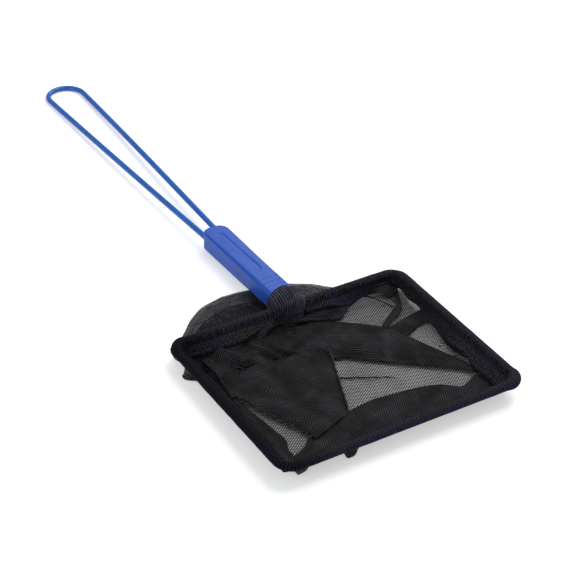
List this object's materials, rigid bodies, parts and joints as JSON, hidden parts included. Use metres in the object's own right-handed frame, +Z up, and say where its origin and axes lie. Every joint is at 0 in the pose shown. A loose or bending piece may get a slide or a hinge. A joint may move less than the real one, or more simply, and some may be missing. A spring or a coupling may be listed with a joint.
{
  "type": "aquarium fish net",
  "caption": "Hand net for an aquarium: coated wire mouth frame, knit hem, slack fine mesh bag, moulded grip and a long hairpin wire handle that ends in a hanging loop.",
  "frame": {"origin": "on the surface that the net lies on, under the middle of the whole net", "axes": "+X along the handle, from the bag to the hanging loop; +Y across the mouth; +Z up from the surface"},
  "size_m": [0.5286, 0.198, 0.0222],
  "materials": {
    "steel_wire": "drawn wire",
    "blue_coating": "smooth soft coat",
    "blue_grip": "satin moulding",
    "navy_ribbon": "ribbed knit",
    "black_mesh": "fine open mesh",
    "black_thread": "overlock thread"
  },
  "bodies": {
    "root": {"handle_wire_core": "steel_wire", "handle_wire_coating": "blue_coating", "frame_wire_core": "steel_wire", "frame_wire_coating": "blue_coating", "grip_upper_shell": "blue_grip", "grip_lower_shell": "blue_grip", "hem_ribbon": "navy_ribbon", "throat_wrap": "navy_ribbon", "net_bag": "black_mesh", "right_bag_seam": "black_thread", "left_bag_seam": "black_thread"}
  },
  "joints": []
}
